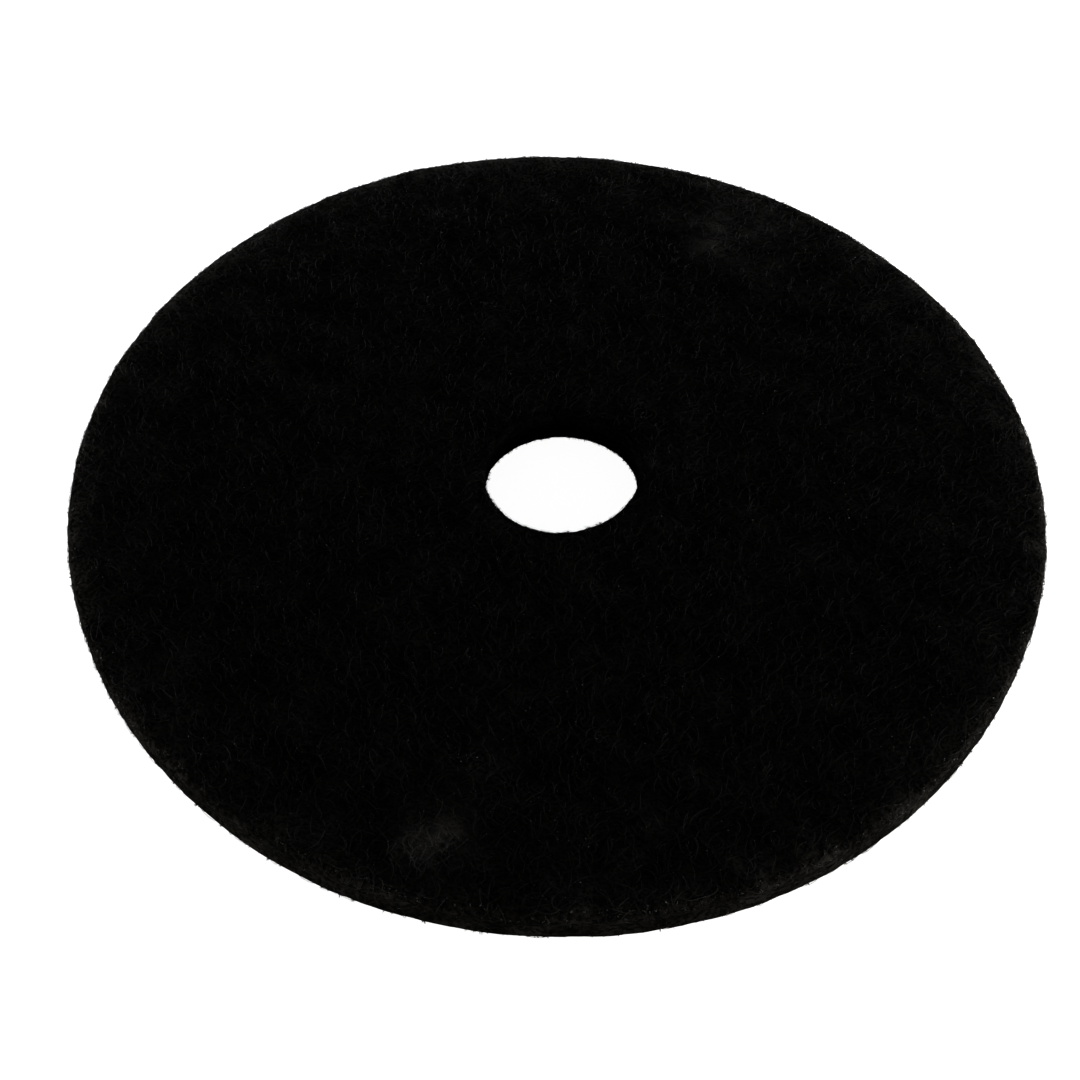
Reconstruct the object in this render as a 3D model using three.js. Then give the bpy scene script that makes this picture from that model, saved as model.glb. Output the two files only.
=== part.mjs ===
// A floor polishing pad: the round pad that a rotary floor machine drives over the floor.
// It is one piece, die-cut from a thick, springy mat of non-woven nylon fibre, with a round
// hole in the middle that the machine's centre lock passes through.
// Units are millimetres and +Z is up. The origin is the middle of the face that lies on the
// floor, and the face that the machine's driver grips is on top.

import * as THREE from "three";

// Driving dimensions
const PAD_DIAMETER = 508;
const PAD_THICKNESS = 20;
const HOLE_DIAMETER = 82.5;

// The cutting die enters through the top face and drags its edge fibres down with it, so the
// upper edges are well rounded. It leaves through the bottom face, whose edges stay crisper.
const UPPER_EDGE_RADIUS = 4;
const LOWER_EDGE_RADIUS = 1.6;

// The mat is squeezed while it is cut and springs back, which leaves each wall a little hollow.
const WALL_HOLLOW = 0.8;

// Facets: steps round the circle, along each rounded edge and up each wall
const CIRCLE_STEPS = 144;
const UPPER_EDGE_STEPS = 5;
const LOWER_EDGE_STEPS = 3;
const WALL_STEPS = 6;

const QUARTER_TURN = Math.PI / 2;

// Points of a quarter circle that turns anticlockwise from startAngle. Across is the radius
// from the pad's axis, and up is the height above the floor.
function quarterRound(centreAcross, centreUp, radius, startAngle, steps) {
  const points = [];
  for (let step = 0; step <= steps; step++) {
    const angle = startAngle + (QUARTER_TURN * step) / steps;
    const across = centreAcross + radius * Math.cos(angle);
    const up = centreUp + radius * Math.sin(angle);
    points.push(new THREE.Vector2(across, up));
  }
  return points;
}

// Points between the two ends of a wall. The wall leaves each end straight up and is deepest
// halfway. Inward is the direction of the mat's flesh: -1 at the rim and 1 at the hole.
function hollowWall(wallAcross, fromUp, toUp, inward) {
  const points = [];
  for (let step = 1; step < WALL_STEPS; step++) {
    const part = step / WALL_STEPS;
    const depth = WALL_HOLLOW * Math.sin(Math.PI * part) ** 2;
    const across = wallAcross + inward * depth;
    const up = fromUp + (toUp - fromUp) * part;
    points.push(new THREE.Vector2(across, up));
  }
  return points;
}

// The pad's section as a closed outline: out along the bottom face, up the rim, back along the
// top face and down the hole.
function padSection() {
  const rimAcross = PAD_DIAMETER / 2;
  const holeAcross = HOLE_DIAMETER / 2;
  const wallTop = PAD_THICKNESS - UPPER_EDGE_RADIUS;
  const wallFoot = LOWER_EDGE_RADIUS;

  const lowerRimEdge = quarterRound(
    rimAcross - LOWER_EDGE_RADIUS, wallFoot, LOWER_EDGE_RADIUS, -QUARTER_TURN, LOWER_EDGE_STEPS);
  const rimWall = hollowWall(rimAcross, wallFoot, wallTop, -1);
  const upperRimEdge = quarterRound(
    rimAcross - UPPER_EDGE_RADIUS, wallTop, UPPER_EDGE_RADIUS, 0, UPPER_EDGE_STEPS);
  const upperHoleEdge = quarterRound(
    holeAcross + UPPER_EDGE_RADIUS, wallTop, UPPER_EDGE_RADIUS, QUARTER_TURN, UPPER_EDGE_STEPS);
  const holeWall = hollowWall(holeAcross, wallTop, wallFoot, 1);
  const lowerHoleEdge = quarterRound(
    holeAcross + LOWER_EDGE_RADIUS, wallFoot, LOWER_EDGE_RADIUS, 2 * QUARTER_TURN, LOWER_EDGE_STEPS);

  const rim = [...lowerRimEdge, ...rimWall, ...upperRimEdge];
  const hole = [...upperHoleEdge, ...holeWall, ...lowerHoleEdge];
  return [...rim, ...hole, lowerRimEdge[0].clone()];
}

// Black nylon fibre bonded with black resin: dark and matt all through
const fibreMat = new THREE.MeshStandardMaterial({ color: 0x0c0c0d, roughness: 1, metalness: 0 });

const pad = new THREE.Mesh(new THREE.LatheGeometry(padSection(), CIRCLE_STEPS), fibreMat);
pad.name = "pad";
// A lathe turns its section about Y, so the pad is tipped to turn about Z.
pad.rotation.x = QUARTER_TURN;

const floorPad = new THREE.Group();
floorPad.add(pad);

export default floorPad;
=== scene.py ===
# The looks of a floor polishing pad: a round pad of black non-woven nylon fibre with a hole in
# the middle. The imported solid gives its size. Here it becomes a springy mat that is covered all
# over by a tangle of real strands, with cut ends on its walls and resin crumbs on its strands.
# Blender's units are metres, so sizes are written in millimetres times MM.

import math

import bpy
import numpy as np
from mathutils import Matrix, Vector


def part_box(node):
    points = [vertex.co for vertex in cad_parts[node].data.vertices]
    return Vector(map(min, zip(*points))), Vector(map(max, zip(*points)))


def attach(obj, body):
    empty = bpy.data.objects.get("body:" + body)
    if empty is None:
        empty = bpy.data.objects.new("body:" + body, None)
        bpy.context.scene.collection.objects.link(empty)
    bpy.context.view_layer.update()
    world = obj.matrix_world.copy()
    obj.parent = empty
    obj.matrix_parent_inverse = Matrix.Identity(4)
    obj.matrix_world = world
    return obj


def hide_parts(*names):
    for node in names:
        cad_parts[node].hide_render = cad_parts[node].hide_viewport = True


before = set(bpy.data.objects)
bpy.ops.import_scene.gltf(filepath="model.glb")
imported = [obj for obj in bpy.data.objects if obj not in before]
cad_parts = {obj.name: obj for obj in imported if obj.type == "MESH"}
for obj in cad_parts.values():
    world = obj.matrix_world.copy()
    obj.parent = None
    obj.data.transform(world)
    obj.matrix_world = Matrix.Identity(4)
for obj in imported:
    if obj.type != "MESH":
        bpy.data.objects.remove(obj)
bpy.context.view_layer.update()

MM = 0.001
NODE = "pad"
BODY = "root"

# The pad's size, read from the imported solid
pad_low, pad_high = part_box(NODE)
RIM_RADIUS = (pad_high.x - pad_low.x) / 2
THICKNESS = pad_high.z - pad_low.z
HOLE_RADIUS = min(math.hypot(v.co.x, v.co.y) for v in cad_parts[NODE].data.vertices)

# The solid's edges and walls
UPPER_EDGE_RADIUS = 4 * MM
LOWER_EDGE_RADIUS = 1.6 * MM
WALL_HOLLOW = 0.8 * MM

# Steps along each arc and wall of the section, samples along the whole of it, and how many
# samples either way its slope is smoothed over
STRETCH_STEPS = 24
SECTION_SAMPLES = 6000
SLOPE_REACH = 3

# The mat lies just under the solid's skin, and the strands fill the rest.
MAT_DEPTH = 0.3 * MM
MAT_COLUMNS = 720
MAT_STEPS = {
    "top face": 28,
    "upper rim edge": 5,
    "rim wall": 10,
    "lower rim edge": 3,
    "bottom face": 14,
    "lower hole edge": 3,
    "hole wall": 8,
    "upper hole edge": 5,
}

# Strands are three-sided tubes. A laid strand weaves up and down over a length between the
# shortest one and that plus its spread, curls in the same way, and dips into the mat at its ends.
STRAND_SIDES = 3
STRAND_RADIUS = (0.10 * MM, 0.17 * MM)
STRAND_WEAVE = 0.22 * MM
WEAVE_LENGTH, WEAVE_LENGTH_SPREAD = 9 * MM, 12 * MM
CURL_LENGTH, CURL_LENGTH_SPREAD = 25 * MM, 60 * MM
LAST_POINT_DIP = 0.7 * MM
NEXT_POINT_DIP = 0.2 * MM
STRAND_TIP = 0.6

# Cut ends come in tufts. How far they stand apart, how deep they are rooted below the mat's top,
# how much each leans away from its tuft and bends, and how thick the root and the tip are
TUFT_SPREAD = 0.45 * MM
ROOT_DEPTH = 0.3 * MM
OWN_LEAN = 0.6
END_BEND = 0.35
ROOT_TO_TIP = (1.3, 0.9)
CUT_END_POINTS = 4
LEAST_OWN_TONE = 0.4

# Resin crumbs: smallest half size, its spread, and how lopsided they are
CRUMB_SIZE, CRUMB_SIZE_SPREAD = 0.12 * MM, 0.16 * MM
CRUMB_LOPSIDED = 0.04 * MM
CRUMB_RARITY = 3

# The photograph's camera, and a 36 mm wide sensor
CAMERA_PLACE = Vector((0.0, -577.6 * MM, 707.9 * MM))
CAMERA_AIM = Vector((-7.8 * MM, -46.9 * MM, THICKNESS))
CAMERA_ROLL = math.radians(1.0)
CAMERA_LENS = 56.97

RANDOM_SEED = 20


# Shape of the section


STRETCH_PARTS = np.arange(STRETCH_STEPS + 1) / STRETCH_STEPS


def arc(centre, radius, start, turn):
    """Points of an arc in the section, with its angles in degrees."""
    angles = np.radians(start + turn * STRETCH_PARTS)
    across, up = centre
    return np.stack([across + radius * np.cos(angles), up + radius * np.sin(angles)], 1)


def wall(across, start_up, end_up, inward):
    """Points of a hollow wall, which is deepest halfway."""
    part = STRETCH_PARTS
    depth = WALL_HOLLOW * np.sin(np.pi * part) ** 2
    return np.stack([across + inward * depth, start_up + (end_up - start_up) * part], 1)


def line(start, end):
    return np.array([start, end], float)


def section_stretches():
    """The section's stretches in order, clockwise from the inner end of the top face."""
    top, foot = THICKNESS - UPPER_EDGE_RADIUS, LOWER_EDGE_RADIUS
    rim_top, hole_top = RIM_RADIUS - UPPER_EDGE_RADIUS, HOLE_RADIUS + UPPER_EDGE_RADIUS
    rim_foot, hole_foot = RIM_RADIUS - LOWER_EDGE_RADIUS, HOLE_RADIUS + LOWER_EDGE_RADIUS
    return {
        "top face": line((hole_top, THICKNESS), (rim_top, THICKNESS)),
        "upper rim edge": arc((rim_top, top), UPPER_EDGE_RADIUS, 90, -90),
        "rim wall": wall(RIM_RADIUS, top, foot, -1),
        "lower rim edge": arc((rim_foot, foot), LOWER_EDGE_RADIUS, 0, -90),
        "bottom face": line((rim_foot, 0), (hole_foot, 0)),
        "lower hole edge": arc((hole_foot, foot), LOWER_EDGE_RADIUS, 270, -90),
        "hole wall": wall(HOLE_RADIUS, foot, top, 1),
        "upper hole edge": arc((hole_top, top), UPPER_EDGE_RADIUS, 180, -90),
    }


class Section:
    """The closed section, read by the distance along it."""

    def __init__(self):
        self.span = {}
        points, distance = [], 0.0
        for name, stretch in section_stretches().items():
            length = np.hypot(*np.diff(stretch, axis=0).T).sum()
            self.span[name] = (distance, distance + length)
            points.append(stretch[:-1])
            distance += length
        self.length = distance
        corners = np.concatenate(points + [points[0][:1]])
        corner_distance = np.concatenate([[0], np.cumsum(np.hypot(*np.diff(corners, axis=0).T))])
        self.distance = np.linspace(0, self.length, SECTION_SAMPLES + 1)
        self.across = np.interp(self.distance, corner_distance, corners[:, 0])
        self.up = np.interp(self.distance, corner_distance, corners[:, 1])
        step = self.length / SECTION_SAMPLES
        self.slope_across = self.slope(self.across, step)
        self.slope_up = self.slope(self.up, step)

    @staticmethod
    def slope(values, step):
        """The change of a closed run of values along the section, smoothed over its corners."""
        loop = values[:-1]
        rise = np.roll(loop, -SLOPE_REACH) - np.roll(loop, SLOPE_REACH)
        change = rise / (2 * SLOPE_REACH * step)
        return np.append(change, change[0])

    def read(self, distance):
        """Radius, height and the unit tangent (across, up) at each distance."""
        wrapped = np.mod(distance, self.length)
        across, up, tangent_across, tangent_up = (
            np.interp(wrapped, self.distance, values)
            for values in (self.across, self.up, self.slope_across, self.slope_up)
        )
        size = np.maximum(np.hypot(tangent_across, tangent_up), 1e-9)
        return across, up, tangent_across / size, tangent_up / size

    def place(self, distance, angle):
        """The point and the outward normal at each distance and angle round the axis."""
        across, up, tangent_across, tangent_up = self.read(distance)
        cosine, sine = np.cos(angle), np.sin(angle)
        point = np.stack([across * cosine, across * sine, up], -1)
        normal = np.stack([-tangent_up * cosine, -tangent_up * sine, tangent_across], -1)
        return point, normal


section = Section()


# Unevenness that the mat and its strands share


def ripple_waves(seed, count, shortest, longest):
    """Directions times wave number, and phases, of a set of plane waves."""
    random = np.random.default_rng(seed)
    direction = random.normal(size=(count, 3))
    direction /= np.linalg.norm(direction, axis=1, keepdims=True)
    length = shortest * (longest / shortest) ** random.random(count)
    return direction * (2 * np.pi / length)[:, None], random.random(count) * 2 * np.pi


LOFT_WAVES = ripple_waves(seed=5, count=18, shortest=14 * MM, longest=60 * MM)
CUT_WAVES = ripple_waves(seed=6, count=22, shortest=5 * MM, longest=14 * MM)
LOFT_HEIGHT = 0.22 * MM
CUT_HEIGHT = 0.12 * MM


def ripple(points, waves):
    """A smooth random field with a spread of about 1."""
    wave, phase = waves
    flat = points.reshape(-1, 3)
    total = np.zeros(len(flat))
    for direction, start in zip(wave, phase):
        total += np.sin(flat @ direction + start)
    return (total * math.sqrt(2 / len(phase))).reshape(points.shape[:-1])


def unevenness(points, normals):
    """How far the surface is raised: gentle loft on the faces, and a rougher cut on the walls."""
    on_wall = 1 - np.abs(normals[..., 2])
    loft = LOFT_HEIGHT * ripple(points, LOFT_WAVES) * (1 - on_wall)
    cut = CUT_HEIGHT * ripple(points, CUT_WAVES) * on_wall
    return loft + cut


# How far the cut edges stray from true circles: amplitude, lobes round the circle, and the
# direction of a lobe in degrees
RIM_STRAY = [(0.3 * MM, 0, 0), (0.55 * MM, 3, 18), (0.35 * MM, 4, 16), (0.2 * MM, 8, -20)]
HOLE_STRAY = [(-1.55 * MM, 0, 0), (2.2 * MM, 1, -4), (1.0 * MM, 2, 22), (0.45 * MM, 3, 21)]
HOLE_STRAY_REACH = 30 * MM


def stray(angle, lobes):
    """How far an edge strays from its circle at each angle."""
    total = np.zeros_like(angle)
    for amplitude, count, direction in lobes:
        total += amplitude * np.cos(count * (angle - math.radians(direction)))
    return total


def settle(points):
    """Moves points out to the strayed edges, and keeps them on or above the floor."""
    radius = np.hypot(points[..., 0], points[..., 1])
    angle = np.arctan2(points[..., 1], points[..., 0])
    near_rim = np.clip((radius - HOLE_RADIUS) / (RIM_RADIUS - HOLE_RADIUS), 0, 1) ** 2
    near_hole = np.exp(-np.maximum(radius - HOLE_RADIUS, 0) / HOLE_STRAY_REACH)
    moved = radius + near_rim * stray(angle, RIM_STRAY) + near_hole * stray(angle, HOLE_STRAY)
    settled = points.copy()
    settled[..., 0] = moved * np.cos(angle)
    settled[..., 1] = moved * np.sin(angle)
    settled[..., 2] = np.maximum(points[..., 2], 0)
    return settled


# Materials

# The fibres are painted paler towards the rim, a painted sheen where the outer fibres catch the
# light: how pale they are in the middle, and how much each band adds, with its width. The far
# side's upper edge gets more painted sheen than the rest. No fibre is paler than the limit.
MIDDLE_PALENESS = 0.75
NEAR_SIDE_SHEEN = 0.75
FAR_SIDE_EXTRA_SHEEN = 1.6
SHEEN_EDGE = (11 * MM, 18 * MM)
PALENESS_LIMIT = (0.25, 0.25, 0.25)
RIM_SHEEN_BANDS = [(70 * MM, 0.3), (20 * MM, 0.8), (7 * MM, 2.1)]

# Scuffs of dust on the top face: middle, half length and half width, direction in degrees, and
# how pale the dust is
DUST_COLOUR = (1.0, 0.96, 0.90)
SCUFFS = [
    ((-46 * MM, -214 * MM), (44 * MM, 24 * MM), 50, 0.0068),
    ((-53 * MM, -219 * MM), (23 * MM, 13 * MM), 35, 0.0225),
    ((103 * MM, 194 * MM), (52 * MM, 44 * MM), 70, 0.0074),
    ((88 * MM, 177 * MM), (24 * MM, 20 * MM), 70, 0.0095),
]


# A noise lies almost all in this range. It is spread over the range of paleness that each use
# of it needs: clouds in the dust, blotches and patches in the web, and the coat on a strand.
NOISE_RANGE = (0.3, 0.7)
CLOUD_SCALE, CLOUD_RANGE = 90, (0.45, 1.0)
BLOTCH_SCALE, BLOTCH_RANGE = 48, (0.6, 1.4)
PATCH_SCALE, PATCH_RANGE = 70, (0.65, 1.0)
COAT_SCALE, COAT_RANGE = 900, (0.5, 1.0)
PORE_RANGE = (0.36, 0.60)
MIDDLING_TONE = 0.6


def node_material(name):
    material = bpy.data.materials.new(name)
    material.use_nodes = True
    tree = material.node_tree
    return material, tree, tree.nodes["Principled BSDF"]


def connect(tree, source, target):
    tree.links.new(source, target)


def object_coordinates(tree):
    return tree.nodes.new("ShaderNodeTexCoord").outputs["Object"]


def moved_coordinates(tree, turn, stretch):
    """Object coordinates, turned about every axis and scaled along each."""
    mapping = tree.nodes.new("ShaderNodeMapping")
    mapping.inputs["Rotation"].default_value = turn
    mapping.inputs["Scale"].default_value = stretch
    connect(tree, object_coordinates(tree), mapping.inputs["Vector"])
    return mapping.outputs["Vector"]


def noise(tree, vector, scale, detail=2.0):
    node = tree.nodes.new("ShaderNodeTexNoise")
    node.inputs["Scale"].default_value = scale
    node.inputs["Detail"].default_value = detail
    node.inputs["Roughness"].default_value = 0.5
    connect(tree, vector, node.inputs["Vector"])
    return node.outputs["Fac"]


def math_node(tree, operation, first, second=None):
    """Arithmetic on numbers, each a fixed one or a socket."""
    node = tree.nodes.new("ShaderNodeMath")
    node.operation = operation
    for socket, value in zip(node.inputs, (first, second)):
        if value is None:
            continue
        if isinstance(value, (int, float)):
            socket.default_value = value
        else:
            connect(tree, value, socket)
    return node.outputs[0]


def remap(tree, value, low, high, to_low=0.0, to_high=1.0):
    """Maps a value smoothly from low and high to two new ends, and holds it between them."""
    node = tree.nodes.new("ShaderNodeMapRange")
    node.interpolation_type = "SMOOTHSTEP"
    node.inputs["From Min"].default_value = low
    node.inputs["From Max"].default_value = high
    node.inputs["To Min"].default_value = to_low
    node.inputs["To Max"].default_value = to_high
    connect(tree, value, node.inputs["Value"])
    return node.outputs["Result"]


def colour_ramp(tree, value, stops):
    """A ramp through (position, colour) stops."""
    node = tree.nodes.new("ShaderNodeValToRGB")
    elements = node.color_ramp.elements
    elements[0].position, elements[0].color = stops[0][0], (*stops[0][1], 1)
    elements[1].position, elements[1].color = stops[-1][0], (*stops[-1][1], 1)
    for position, colour in stops[1:-1]:
        elements.new(position).color = (*colour, 1)
    connect(tree, value, node.inputs["Fac"])
    return node.outputs["Color"]


def filaments(tree, turn, stretch, scale, width):
    """Thin curly lines: where a noise passes its middle value, it draws a loose thread."""
    value = noise(tree, moved_coordinates(tree, turn, stretch), scale, detail=1.0)
    off_middle = math_node(tree, "ABSOLUTE", math_node(tree, "SUBTRACT", value, 0.5))
    return remap(tree, off_middle, 0.0, width, 1.0, 0.0)


def tangle(tree):
    """Layers of curly lines that cross each other, as the strands of a web do."""
    layers = [
        filaments(tree, turn=(0.3, 0.1, 0.2), stretch=(1.0, 1.6, 1.3), scale=420, width=0.030),
        filaments(tree, turn=(1.1, 0.7, 1.9), stretch=(1.7, 1.0, 1.2), scale=480, width=0.030),
        filaments(tree, turn=(2.0, 1.3, 0.9), stretch=(1.2, 1.1, 1.8), scale=560, width=0.028),
    ]
    strongest = layers[0]
    for layer in layers[1:]:
        strongest = math_node(tree, "MAXIMUM", strongest, layer)
    return strongest


def vector_node(tree, operation, first, second=None, scale=None):
    """Arithmetic on vectors, each a fixed one or a socket, or a vector times a scale."""
    node = tree.nodes.new("ShaderNodeVectorMath")
    node.operation = operation
    for socket, value in zip(node.inputs, (first, second)):
        if value is None:
            continue
        if isinstance(value, tuple):
            socket.default_value = value
        else:
            connect(tree, value, socket)
    if scale is not None:
        connect(tree, scale, node.inputs["Scale"])
    return node.outputs["Value" if operation == "LENGTH" else "Vector"]


def spot(tree, place, size, direction):
    """1 in the middle of a soft oval on the pad, and 0 outside it."""
    mapping = tree.nodes.new("ShaderNodeMapping")
    mapping.vector_type = "TEXTURE"
    mapping.inputs["Location"].default_value = (*place, 0)
    mapping.inputs["Rotation"].default_value = (0, 0, math.radians(direction))
    mapping.inputs["Scale"].default_value = (*size, 1)
    connect(tree, object_coordinates(tree), mapping.inputs["Vector"])
    off_middle = vector_node(tree, "LENGTH", mapping.outputs["Vector"])
    return remap(tree, off_middle, 0.0, 1.0, 1.0, 0.0)


def dust(tree):
    """Cloudy dust on the scuffs."""
    total = 0.0
    for place, size, direction, strength in SCUFFS:
        scuff = math_node(tree, "MULTIPLY", spot(tree, place, size, direction), strength)
        total = math_node(tree, "ADD", total, scuff)
    clouds = noise(tree, object_coordinates(tree), CLOUD_SCALE, detail=4.0)
    amount = math_node(tree, "MULTIPLY", total, remap(tree, clouds, *NOISE_RANGE, *CLOUD_RANGE))
    return vector_node(tree, "SCALE", DUST_COLOUR, scale=amount)


def sheen_and_blotches(tree):
    """How pale the fibres are painted at each distance from the axis: a painted sheen towards the
    rim, stronger on the far side's upper edge, with blotches where the web is thicker or thinner."""
    flat = vector_node(tree, "MULTIPLY", object_coordinates(tree), (1, 1, 0))
    radius = vector_node(tree, "LENGTH", flat)
    sheened = 0.0
    for width, gain in RIM_SHEEN_BANDS:
        band = remap(tree, radius, RIM_RADIUS - width, RIM_RADIUS, 0.0, gain)
        sheened = math_node(tree, "ADD", sheened, band)
    axes = tree.nodes.new("ShaderNodeSeparateXYZ")
    connect(tree, object_coordinates(tree), axes.inputs["Vector"])
    far = remap(tree, axes.outputs["Y"], -RIM_RADIUS, RIM_RADIUS, 0.0, FAR_SIDE_EXTRA_SHEEN)
    edge = remap(tree, axes.outputs["Z"], *SHEEN_EDGE)
    sheen_gain = math_node(tree, "ADD", NEAR_SIDE_SHEEN, math_node(tree, "MULTIPLY", far, edge))
    total = math_node(tree, "ADD", MIDDLE_PALENESS, math_node(tree, "MULTIPLY", sheened, sheen_gain))
    blotches = noise(tree, object_coordinates(tree), BLOTCH_SCALE)
    return math_node(tree, "MULTIPLY", total, remap(tree, blotches, *NOISE_RANGE, *BLOTCH_RANGE))


def with_sheen_and_dust(tree, colour):
    """A fibre colour with painted sheen, paler towards the rim, and dusty on the scuffs."""
    sheened = vector_node(tree, "SCALE", colour, scale=sheen_and_blotches(tree))
    dusty = vector_node(tree, "ADD", sheened, dust(tree))
    return vector_node(tree, "MINIMUM", dusty, PALENESS_LIMIT)


def bump(tree, height, strength, distance):
    node = tree.nodes.new("ShaderNodeBump")
    node.inputs["Strength"].default_value = strength
    node.inputs["Distance"].default_value = distance
    connect(tree, height, node.inputs["Height"])
    return node.outputs["Normal"]


def mat_material(name, pore, strand, pore_scale):
    """The inside of the web, seen between the strands: pores painted dark as painted shade in the
    web's holes, and deeper strands across them.
    """
    material, tree, shader = node_material(name)
    lines = tangle(tree)
    holes = noise(tree, object_coordinates(tree), pore_scale, detail=3.0)
    pores = remap(tree, holes, *PORE_RANGE)
    patchy = noise(tree, object_coordinates(tree), PATCH_SCALE, detail=3.0)
    patches = remap(tree, patchy, *NOISE_RANGE, *PATCH_RANGE)
    web = math_node(tree, "MULTIPLY", math_node(tree, "MAXIMUM", lines, pores), patches)
    colour = colour_ramp(tree, web, [(0.0, pore), (1.0, strand)])
    connect(tree, with_sheen_and_dust(tree, colour), shader.inputs["Base Color"])
    connect(tree, bump(tree, web, strength=0.9, distance=0.5 * MM), shader.inputs["Normal"])
    shader.inputs["Roughness"].default_value = 0.9
    shader.inputs["Specular IOR Level"].default_value = 0.0
    return material


def strand_material(name, dark, middling, pale, roughness, shine):
    """Resin-coated nylon: each strand has a tone of its own, and the resin lies unevenly."""
    material, tree, shader = node_material(name)
    tone = tree.nodes.new("ShaderNodeAttribute")
    tone.attribute_name = "tone"
    coat = noise(tree, object_coordinates(tree), COAT_SCALE)
    shade = remap(tree, coat, *NOISE_RANGE, *COAT_RANGE)
    mixed = math_node(tree, "MULTIPLY", tone.outputs["Fac"], shade)
    colour = colour_ramp(tree, mixed, [(0.0, dark), (MIDDLING_TONE, middling), (1.0, pale)])
    connect(tree, with_sheen_and_dust(tree, colour), shader.inputs["Base Color"])
    connect(tree, bump(tree, coat, strength=0.4, distance=0.1 * MM), shader.inputs["Normal"])
    shader.inputs["Roughness"].default_value = roughness
    shader.inputs["Specular IOR Level"].default_value = shine
    return material


# Meshes


def mesh_piece(name, vertices, faces, materials, tone=None, face_material=None):
    """A smooth-shaded mesh that rides on the pad's body and takes the pad's finish."""
    mesh = bpy.data.meshes.new(name)
    mesh.from_pydata(vertices.tolist(), [], faces)
    if tone is not None:
        layer = mesh.attributes.new("tone", "FLOAT", "POINT")
        layer.data.foreach_set("value", tone.astype(np.float32))
    for material in materials:
        mesh.materials.append(material)
    if face_material is not None:
        mesh.polygons.foreach_set("material_index", face_material.astype(np.int32))
    mesh.shade_smooth()
    piece = bpy.data.objects.new(name, mesh)
    bpy.context.scene.collection.objects.link(piece)
    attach(piece, BODY)
    return piece


def unit(vectors):
    return vectors / np.maximum(np.linalg.norm(vectors, axis=-1, keepdims=True), 1e-12)


def mat_mesh():
    """The springy mat: the whole section turned round the axis, a little under the skin. The
    last value tells each face's place: 0 on the faces, 1 at the rim and 2 in the hole."""
    stretches, row_place = [], []
    for name, steps in MAT_STEPS.items():
        start, end = section.span[name]
        stretches.append(start + (end - start) * np.arange(steps) / steps)
        row_place += [1 if "rim" in name else 2 if "hole" in name else 0] * steps
    distance = np.concatenate(stretches)
    rows = len(distance)
    angle = np.arange(MAT_COLUMNS) * 2 * np.pi / MAT_COLUMNS
    angles, distances = np.meshgrid(angle, distance, indexing="ij")
    points, normals = section.place(distances, angles)
    raised = unevenness(points, normals) - MAT_DEPTH
    points = settle(points + normals * raised[..., None])
    column, row = np.meshgrid(np.arange(MAT_COLUMNS), np.arange(rows), indexing="ij")
    next_column, next_row = (column + 1) % MAT_COLUMNS, (row + 1) % rows
    corners = [(column, row), (column, next_row), (next_column, next_row), (next_column, row)]
    faces = np.stack([c * rows + r for c, r in corners], -1).reshape(-1, 4)
    return points.reshape(-1, 3), faces.tolist(), np.tile(row_place, MAT_COLUMNS)


def tube_mesh(paths, normals, radii):
    """Closed tubes along paths of shape (strands, points, 3), with a radius at each point."""
    strands, points, _ = paths.shape
    tangents = unit(np.gradient(paths, axis=1))
    sides = unit(np.cross(tangents, normals))
    ups = np.cross(sides, tangents)
    turn = 2 * np.pi * np.arange(STRAND_SIDES) / STRAND_SIDES + np.pi / 2
    rings = (
        sides[:, :, None, :] * np.cos(turn)[:, None] + ups[:, :, None, :] * np.sin(turn)[:, None]
    )
    vertices = paths[:, :, None, :] + rings * radii[:, :, None, None]
    first = (np.arange(strands) * points * STRAND_SIDES)[:, None, None]
    ring = (np.arange(points - 1) * STRAND_SIDES)[None, :, None]
    side = np.arange(STRAND_SIDES)[None, None, :]
    after = (side + 1) % STRAND_SIDES
    corners = [side, after, after + STRAND_SIDES, side + STRAND_SIDES]
    quads = np.stack([first + ring + corner for corner in corners], -1).reshape(-1, 4)
    start_cap = first[:, 0] + np.arange(STRAND_SIDES)[::-1]
    end_cap = first[:, 0] + (points - 1) * STRAND_SIDES + np.arange(STRAND_SIDES)
    faces = quads.tolist() + start_cap.tolist() + end_cap.tolist()
    return settle(vertices).reshape(-1, 3), faces


def wander(random, distance, angle, heading, points, step, bend_radius):
    """Walks strands over the pad's surface. A heading of 0 runs along the section, and one of
    90 degrees round the pad. Each strand curls one way and then the other."""
    strands = len(distance)
    low, high = bend_radius
    curl = 1 / (low * (high / low) ** random.random(strands))
    curl_length = CURL_LENGTH + CURL_LENGTH_SPREAD * random.random(strands)
    curl_phase = 2 * np.pi * random.random(strands)
    places, normals = [], []
    for index in range(points):
        place, normal = section.place(distance, angle)
        places.append(place)
        normals.append(normal)
        across, _, tangent_across, _ = section.read(distance)
        bend = curl * np.cos(curl_phase + 2 * np.pi * index * step / curl_length)
        distance = distance + step * np.cos(heading)
        angle = angle + step * np.sin(heading) / across
        heading = heading + step * (bend - tangent_across * np.sin(heading) / across)
    return np.stack(places, 1), np.stack(normals, 1)


def strand_radii(random, strands):
    thin, thick = STRAND_RADIUS
    return thin + (thick - thin) * random.random((strands, 1))


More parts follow.
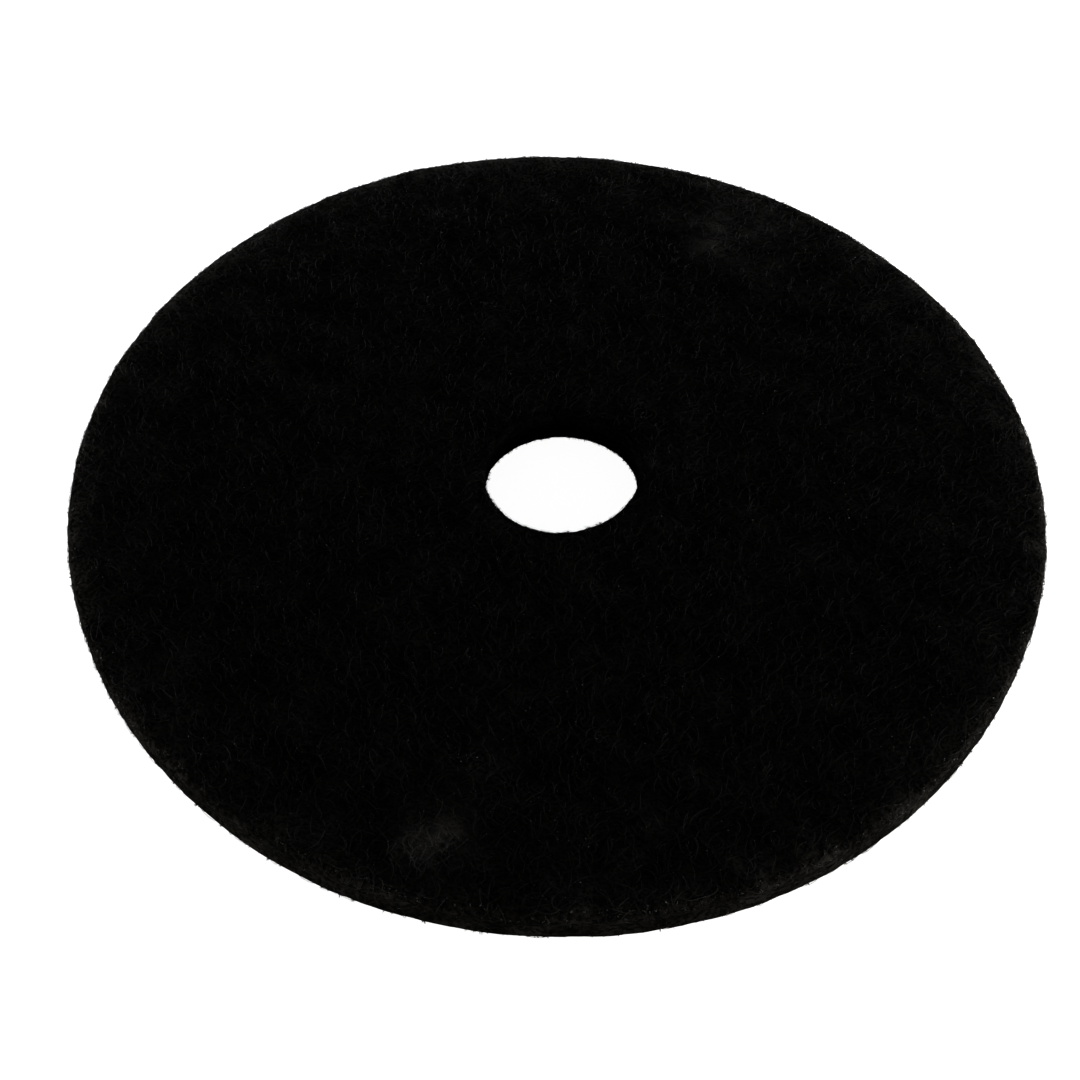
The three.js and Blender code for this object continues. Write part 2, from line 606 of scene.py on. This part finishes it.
def laid_strands(
        random, distance, angle, heading, points, step, bend_radius, height, rarity, palest=1.0):
    """Strands that lie along the surface and weave over and under each other. The greater the
    rarity, the fewer of them are pale."""
    places, normals = wander(random, distance, angle, heading, points, step, bend_radius)
    strands = len(distance)
    along = np.arange(points)[None, :] * step
    low, high = height
    level = low + (high - low) * random.random((strands, 1))
    weave_length = WEAVE_LENGTH + WEAVE_LENGTH_SPREAD * random.random((strands, 1))
    weave_phase = 2 * np.pi * random.random((strands, 1))
    wave = STRAND_WEAVE * np.sin(2 * np.pi * along / weave_length + weave_phase)
    end = np.minimum(np.arange(points), np.arange(points)[::-1])[None, :]
    dip = np.where(end == 0, LAST_POINT_DIP, 0) + np.where(end == 1, NEXT_POINT_DIP, 0)
    raised = level + wave - dip + unevenness(places, normals)
    radius = strand_radii(random, strands) * np.where(end == 0, STRAND_TIP, 1)
    tone = np.repeat(palest * random.random(strands) ** rarity, points * STRAND_SIDES)
    return places + normals * raised[..., None], normals, radius, tone


def cut_ends(random, distance, angle, tuft, length, lean, rarity):
    """Short stubs that stand out of the surface, as strands do where the die cut them. They come
    in tufts of that many ends, which lean one way together. The greater the rarity, the fewer
    tufts are pale."""
    tufts = len(distance)
    strands = tufts * tuft
    distance = np.repeat(distance, tuft) + TUFT_SPREAD * random.normal(size=strands)
    around = TUFT_SPREAD * random.normal(size=strands) / section.read(distance)[0]
    place, normal = section.place(distance, np.repeat(angle, tuft) + around)
    shortest, longest = length
    reach = (shortest + (longest - shortest) * random.random(strands))[:, None]
    tuft_tilt = np.repeat(random.normal(size=(tufts, 3)), tuft, axis=0)
    tilt = unit(tuft_tilt + OWN_LEAN * random.normal(size=(strands, 3)))
    curl = unit(random.normal(size=(strands, 3)))
    part = np.linspace(0, 1, CUT_END_POINTS)[None, :, None]
    direction = unit(normal + lean * tilt)
    root = place + normal * (unevenness(place, normal) - MAT_DEPTH - ROOT_DEPTH)[:, None]
    paths = (
        root[:, None, :]
        + direction[:, None, :] * reach[:, None, :] * part
        + curl[:, None, :] * reach[:, None, :] * END_BEND * part**2
    )
    normals = np.broadcast_to(unit(np.cross(direction, tilt))[:, None, :], paths.shape)
    radius = strand_radii(random, strands) * np.linspace(*ROOT_TO_TIP, CUT_END_POINTS)
    tuft_tone = np.repeat(random.random(tufts) ** rarity, tuft)
    own_tone = LEAST_OWN_TONE + (1 - LEAST_OWN_TONE) * random.random(strands)
    tone = np.repeat(tuft_tone * own_tone, CUT_END_POINTS * STRAND_SIDES)
    return paths, normals, radius, tone


def strand_piece(name, material, *groups):
    """One piece from groups of strands, each a tuple of paths, normals, radii and tones."""
    all_vertices, all_faces, all_tones, base = [], [], [], 0
    for paths, normals, radii, tone in groups:
        vertices, faces = tube_mesh(paths, normals, radii)
        all_vertices.append(vertices)
        all_faces.extend([[corner + base for corner in face] for face in faces])
        all_tones.append(tone)
        base += len(vertices)
    return mesh_piece(
        name, np.concatenate(all_vertices), all_faces, [material], np.concatenate(all_tones))


random = np.random.default_rng(RANDOM_SEED)


def full_turn(count):
    return 2 * np.pi * random.random(count)


def face_starts(count, stretch, inner, outer):
    """Distances spread evenly over the area of the top or the bottom face."""
    radius = np.sqrt(inner**2 + (outer**2 - inner**2) * random.random(count))
    start, end = section.span[stretch]
    start_radius = section.read(np.array(start))[0]
    direction = 1 if section.read(np.array((start + end) / 2))[2] > 0 else -1
    return start + direction * (radius - start_radius)


def stretch_starts(count, first, last):
    """Distances spread evenly from the start of one stretch to the end of another."""
    start, end = section.span[first][0], section.span[last][1]
    return start + (end - start) * random.random(count)


def grey(value, warmth=0.0):
    """A grey, with a little less green and blue as its warmth grows."""
    return (value, value * (1 - warmth / 3), value * (1 - warmth))


# The mat at the rim is painted darker than under the faces, painted shade on the walls, and the
# mat in the hole darker still, painted shade inside the hole.
mat_looks = [
    mat_material(
        "mat_under_faces", pore=grey(0.0008, 0.1), strand=grey(0.0057, 0.1), pore_scale=620),
    mat_material("mat_at_rim", pore=grey(0.0004), strand=grey(0.0037, 0.15), pore_scale=420),
    mat_material("mat_in_hole", pore=grey(0.0004), strand=grey(0.0028), pore_scale=420),
]
face_look = strand_material(
    "face_strands",
    dark=grey(0.0016, 0.1),
    middling=grey(0.0040, 0.1),
    pale=grey(0.0085, 0.1),
    roughness=0.8,
    shine=0.04,
)
# The pale tones of the wall strands and of the crest strands are painted glints on the rim, far
# paler than the face strands of the same nylon.
wall_look = strand_material(
    "wall_strands",
    dark=grey(0.0006),
    middling=grey(0.0074, 0.15),
    pale=grey(0.1200, 0.1),
    roughness=0.8,
    shine=0.04,
)
crest_look = strand_material(
    "crest_strands",
    dark=grey(0.0030),
    middling=grey(0.0220),
    pale=grey(0.1600),
    roughness=0.8,
    shine=0.04,
)
# The bore strands are painted darker than the face strands: painted shade inside the hole.
bore_look = strand_material(
    "bore_strands",
    dark=grey(0.0008),
    middling=grey(0.0024),
    pale=grey(0.0080),
    roughness=0.9,
    shine=0.0,
)
grain_look = strand_material(
    "resin_grains",
    dark=grey(0.0040),
    middling=grey(0.0250, 0.1),
    pale=grey(0.1000, 0.1),
    roughness=0.45,
    shine=0.4,
)

mat_vertices, mat_faces, mat_places = mat_mesh()
mat_piece = mesh_piece(
    "springy_mat", mat_vertices, mat_faces, mat_looks, face_material=mat_places)
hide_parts(NODE)

# Strands on the faces: points in each, the bends that they curl to, and how close to the edges
# they start. Each layer has a number of strands and the heights that they lie at.
FACE_POINTS = 8
FACE_BEND = (2.5 * MM, 10 * MM)
FACE_MARGIN = 1 * MM
TOP_STEP = 2.0 * MM
TOP_RARITY = 1.3
TOP_LAYERS = {
    "top_web_low": (3700, (-0.20 * MM, 0.05 * MM)),
    "top_web_middle": (4200, (-0.10 * MM, 0.20 * MM)),
    "top_web_high": (4200, (0.0, 0.40 * MM)),
}
BOTTOM_STRANDS, BOTTOM_HEIGHT = 2200, (-0.3 * MM, 0.1 * MM)
BOTTOM_STEP = 3.0 * MM
BOTTOM_RARITY = 1.2


def face_strands(stretch, count, step, height, rarity):
    """Strands that lie every way over the top or the bottom face."""
    return laid_strands(
        random,
        face_starts(count, stretch, HOLE_RADIUS + FACE_MARGIN, RIM_RADIUS - FACE_MARGIN),
        full_turn(count),
        full_turn(count),
        FACE_POINTS,
        step,
        FACE_BEND,
        height,
        rarity,
    )


top_groups = []
for name, (count, height) in TOP_LAYERS.items():
    group = face_strands("top face", count, TOP_STEP, height, TOP_RARITY)
    strand_piece(name, face_look, group)
    top_groups.append(group)

bottom_group = face_strands(
    "bottom face", BOTTOM_STRANDS, BOTTOM_STEP, BOTTOM_HEIGHT, BOTTOM_RARITY)
strand_piece("bottom_web", face_look, bottom_group)


# Strands on the cut walls of the rim and the hole: how far their headings spread from straight
# round the pad, in degrees, and their steps and bends
WALL_HEADING_SPREAD = 22
WALL_STEP = 2.4 * MM
WALL_BEND = (8 * MM, 40 * MM)


def round_heading(count):
    """Headings close to straight round the pad, one way or the other."""
    side = np.where(random.random(count) < 0.5, 1, -1)
    return side * (np.pi / 2 + np.radians(WALL_HEADING_SPREAD) * random.normal(size=count))


def wall_strands(count, first, last, points, height, rarity, palest=1.0):
    """Strands laid round a wall, from one stretch of the section to another."""
    return laid_strands(
        random,
        stretch_starts(count, first, last),
        full_turn(count),
        round_heading(count),
        points,
        WALL_STEP,
        WALL_BEND,
        height,
        rarity,
        palest,
    )


def wall_tufts(count, first, last, tuft, length, lean, rarity):
    """Tufts of cut ends on a wall, from one stretch of the section to another."""
    return cut_ends(
        random,
        stretch_starts(count, first, last),
        full_turn(count),
        tuft,
        length,
        lean,
        rarity,
    )


# How far the cut ends lean from straight out, on the walls and along their edges
WALL_LEAN = 0.8
EDGE_LEAN = 0.7

# The rim's pale strands and tufts are painted glints along the rim.
strand_piece(
    "rim_web",
    wall_look,
    wall_strands(
        1000,
        "upper rim edge",
        "lower rim edge",
        points=7,
        height=(-0.3 * MM, 0.25 * MM),
        rarity=4,
        palest=0.72,
    ),
    wall_tufts(
        980,
        "upper rim edge",
        "lower rim edge",
        tuft=5,
        length=(0.9 * MM, 1.5 * MM),
        lean=WALL_LEAN,
        rarity=1.8,
    ),
)
# The crests' pale cut ends on the upper rim edge are painted glints along the rim's edge.
strand_piece(
    "rim_crests",
    crest_look,
    wall_tufts(
        760,
        "upper rim edge",
        "upper rim edge",
        tuft=3,
        length=(0.7 * MM, 1.2 * MM),
        lean=EDGE_LEAN,
        rarity=1.0,
    ),
)
strand_piece(
    "bore_web",
    bore_look,
    wall_strands(
        300,
        "lower hole edge",
        "upper hole edge",
        points=6,
        height=(-0.3 * MM, 0.2 * MM),
        rarity=1.5,
    ),
    wall_tufts(
        180,
        "lower hole edge",
        "upper hole edge",
        tuft=4,
        length=(0.8 * MM, 1.7 * MM),
        lean=WALL_LEAN,
        rarity=2.2,
    ),
    wall_tufts(
        110,
        "upper hole edge",
        "upper hole edge",
        tuft=3,
        length=(0.7 * MM, 1.3 * MM),
        lean=EDGE_LEAN,
        rarity=2.2,
    ),
    wall_tufts(
        110,
        "lower hole edge",
        "lower hole edge",
        tuft=3,
        length=(0.7 * MM, 1.2 * MM),
        lean=EDGE_LEAN,
        rarity=2.2,
    ),
)


def grains(count, places):
    """Bits of resin and grit stuck on the strands: lopsided eight-sided crumbs."""
    round_middle = [(1, 0, 0), (0, 1, 0), (-1, 0, 0), (0, -1, 0)]
    corners = np.array([*round_middle, (0, 0, 1), (0, 0, -1)], float)
    upper_sides = [(0, 1, 4), (1, 2, 4), (2, 3, 4), (3, 0, 4)]
    lower_sides = [(1, 0, 5), (2, 1, 5), (3, 2, 5), (0, 3, 5)]
    sides = np.array(upper_sides + lower_sides)
    size = CRUMB_SIZE + CRUMB_SIZE_SPREAD * random.random((count, 1, 3))
    turn = full_turn(count)
    cosine, sine = np.cos(turn)[:, None], np.sin(turn)[:, None]
    lopsided = CRUMB_LOPSIDED * random.normal(size=(count, len(corners), 3))
    shape = corners[None] * size + lopsided
    x = shape[..., 0] * cosine - shape[..., 1] * sine
    y = shape[..., 0] * sine + shape[..., 1] * cosine
    crumbs = np.stack([x, y, shape[..., 2]], -1) + places[:, None, :]
    faces = (np.arange(count)[:, None, None] * len(corners) + sides[None]).reshape(-1, 3)
    tone = np.repeat(random.random(count) ** CRUMB_RARITY, len(corners))
    return settle(crumbs).reshape(-1, 3), faces.tolist(), tone


# How many crumbs there are, and how far above the middle of a strand each one sits
CRUMBS = 3400
CRUMB_LIFT = (0, 0, 0.12 * MM)
top_paths = np.concatenate([paths.reshape(-1, 3) for paths, _, _, _ in top_groups])
grain_places = top_paths[random.integers(len(top_paths), size=CRUMBS)] + CRUMB_LIFT
grain_vertices, grain_faces, grain_tone = grains(CRUMBS, grain_places)
mesh_piece("resin_grains", grain_vertices, grain_faces, [grain_look], grain_tone)


# Stage: a pale floor, soft light and the photograph's camera


def camera_glow(tree, seen, cast):
    """How bright a glowing surface looks, and how much light it casts on the pad."""
    camera_ray = tree.nodes.new("ShaderNodeLightPath").outputs["Is Camera Ray"]
    return remap(tree, camera_ray, 0.0, 1.0, cast, seen)


# Sizes of the stage in metres: the floor's half width and how far it is below the pad, how
# far away the lamps stand, and how high the strip of each lamp is
FLOOR_REACH = 6.0
FLOOR_DROP = 0.1 * MM
LAMP_DISTANCE, LAMP_HEIGHT = 1.5, 0.24


def floor():
    low, high = -FLOOR_REACH, FLOOR_REACH
    corners = [(low, low), (high, low), (high, high), (low, high)]
    mesh = bpy.data.meshes.new("floor")
    mesh.from_pydata([(x, y, -FLOOR_DROP) for x, y in corners], [], [(0, 1, 2, 3)])
    material, tree, shader = node_material("pale_floor")
    shader.inputs["Base Color"].default_value = (0.9, 0.9, 0.9, 1)
    shader.inputs["Roughness"].default_value = 1.0
    shader.inputs["Specular IOR Level"].default_value = 0.0
    shader.inputs["Emission Color"].default_value = (1, 1, 1, 1)
    connect(tree, camera_glow(tree, seen=0.95, cast=0.19), shader.inputs["Emission Strength"])
    mesh.materials.append(material)
    piece = bpy.data.objects.new("floor", mesh)
    bpy.context.scene.collection.objects.link(piece)


def strip_light(name, direction, height, width, power, colour):
    """A long low lamp that faces the pad from one direction, in degrees round it."""
    light = bpy.data.lights.new(name, "AREA")
    light.shape = "RECTANGLE"
    light.size = width
    light.size_y = LAMP_HEIGHT
    light.energy = power
    light.color = colour
    lamp = bpy.data.objects.new(name, light)
    turn = math.radians(direction)
    across, back = LAMP_DISTANCE * math.cos(turn), LAMP_DISTANCE * math.sin(turn)
    lamp.location = (across, back, height)
    lamp.rotation_euler = (-lamp.location).to_track_quat("-Z", "Y").to_euler()
    bpy.context.scene.collection.objects.link(lamp)


def studio():
    """White all round for the camera, a dim even light from everywhere, and three low lamps."""
    world = bpy.data.worlds.new("studio")
    world.use_nodes = True
    tree = world.node_tree
    background = tree.nodes["Background"]
    background.inputs["Color"].default_value = (1, 1, 1, 1)
    connect(tree, camera_glow(tree, seen=1.0, cast=0.06), background.inputs["Strength"])
    bpy.context.scene.world = world
    right, left, back = (1.0, 0.97, 0.92), (1.0, 0.98, 0.92), (0.94, 0.97, 1.0)
    strip_light("right_lamp", direction=-14, height=0.18, width=0.8, power=30, colour=right)
    strip_light("left_lamp", direction=200, height=0.18, width=0.8, power=18, colour=left)
    strip_light("back_lamp", direction=80, height=0.24, width=2.2, power=56, colour=back)


def photo_camera():
    camera = bpy.data.cameras.new("photo_camera")
    camera.sensor_width = 36
    camera.lens = CAMERA_LENS
    camera.clip_end = 50
    holder = bpy.data.objects.new("photo_camera", camera)
    look = (CAMERA_AIM - CAMERA_PLACE).to_track_quat("-Z", "Y").to_matrix().to_4x4()
    holder.matrix_world = (
        Matrix.Translation(CAMERA_PLACE) @ look @ Matrix.Rotation(CAMERA_ROLL, 4, "Z"))
    bpy.context.scene.collection.objects.link(holder)
    bpy.context.scene.camera = holder


floor()
studio()
photo_camera()
bpy.context.scene.view_settings.view_transform = "Standard"
